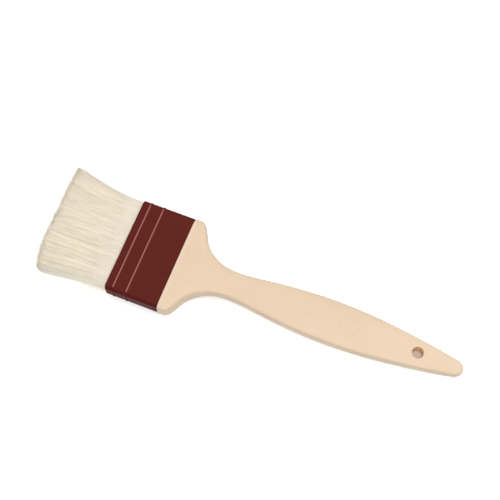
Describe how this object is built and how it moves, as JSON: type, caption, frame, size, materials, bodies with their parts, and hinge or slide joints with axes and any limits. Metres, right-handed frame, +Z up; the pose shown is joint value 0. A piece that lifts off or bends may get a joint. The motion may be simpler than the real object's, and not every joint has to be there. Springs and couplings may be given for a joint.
{
  "type": "pastry brush",
  "caption": "Flat pastry brush: natural bristles set in a ribbed rectangular ferrule on a waisted moulded handle with a hanging hole, for spreading glaze, egg wash or melted butter.",
  "frame": {"origin": "middle of the underside of the brush as it lies flat, at half its length and half its width", "axes": "+X along the brush from the bristle tips to the end of the handle, +Y across the width, +Z up through the thickness"},
  "size_m": [0.259, 0.0676, 0.014],
  "materials": {
    "ivory_plastic": "fine satin moulded plastic, ivory",
    "maroon_plastic": "satin moulded plastic, dark red brown",
    "amber_resin": "cast clear amber epoxy",
    "spacer_plastic": "plain grey plastic strip",
    "white_bristle": "bleached natural bristle, soft sheen"
  },
  "bodies": {
    "handle_and_ferrule": {"handle": "ivory_plastic", "ferrule": "maroon_plastic", "resin_plug": "amber_resin", "spacer_strip": "spacer_plastic", "upper_bristle_roots": "white_bristle", "lower_bristle_roots": "white_bristle"},
    "free_bristles": {"upper_bristle_bank": "white_bristle", "lower_bristle_bank": "white_bristle"}
  },
  "joints": [
    {"name": "bristle_bend", "type": "hinge", "parent": "handle_and_ferrule", "child": "free_bristles", "pos_m": [-0.0871, 0, 0.007], "axis": [0, 1, 0], "range_deg": [-45, 45], "stiffness_Nm_per_rad": 0.2}
  ]
}
